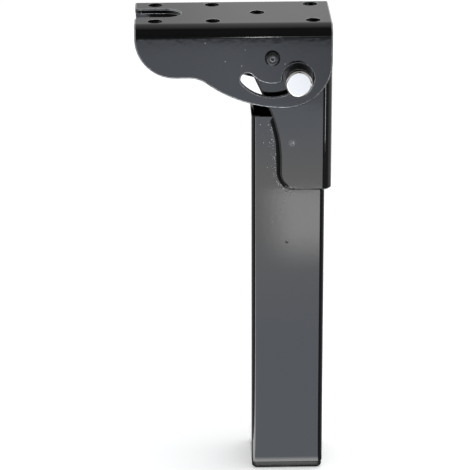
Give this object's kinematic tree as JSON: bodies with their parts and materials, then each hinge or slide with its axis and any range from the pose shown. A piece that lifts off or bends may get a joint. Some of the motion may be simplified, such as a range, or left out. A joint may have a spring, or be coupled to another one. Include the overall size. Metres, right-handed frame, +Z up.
{
  "type": "folding table leg",
  "caption": "Folding square steel table leg on a screw-on top bracket, with push buttons that lock it upright and a plastic foot.",
  "frame": {"origin": "centre of the foot's underside", "axes": "+Z up to the top plate, +X along the bracket away from the side the leg folds to, -Y the front"},
  "size_m": [0.1005, 0.072, 0.25],
  "materials": {
    "black_paint": "glossy black baked paint on sheet steel",
    "foot_plastic": "black moulded plastic, satin",
    "dark_steel": "darkened steel",
    "plain_steel": "plain steel",
    "bright_plate": "bright plating over fine turning marks"
  },
  "bodies": {
    "bracket": {"top_bracket": "black_paint", "pivot_axle": "dark_steel", "pivot_washer_front": "plain_steel", "pivot_washer_back": "plain_steel"},
    "leg": {"leg_bracket": "black_paint", "leg_tube": "black_paint", "foot_plug": "foot_plastic"},
    "button_front": {"lock_cap_front": "bright_plate", "lock_plunger_front": "dark_steel", "lock_spring": "plain_steel"},
    "button_back": {"lock_cap_back": "bright_plate", "lock_plunger_back": "dark_steel"}
  },
  "joints": [
    {"name": "leg_fold", "type": "hinge", "parent": "bracket", "child": "leg", "pos_m": [-0.0085, 0, 0.233], "axis": [0, 1, 0], "range_deg": [0, 90]},
    {"name": "front_button_press", "type": "slide", "parent": "leg", "child": "button_front", "axis": [0, 1, 0], "range_m": [0, 0.004], "stiffness_N_per_m": 800, "springref_m": -0.004, "deforming": ["lock_spring"]},
    {"name": "back_button_press", "type": "slide", "parent": "leg", "child": "button_back", "axis": [0, -1, 0], "range_m": [0, 0.004], "stiffness_N_per_m": 800, "springref_m": -0.004, "deforming": ["lock_spring"]}
  ]
}
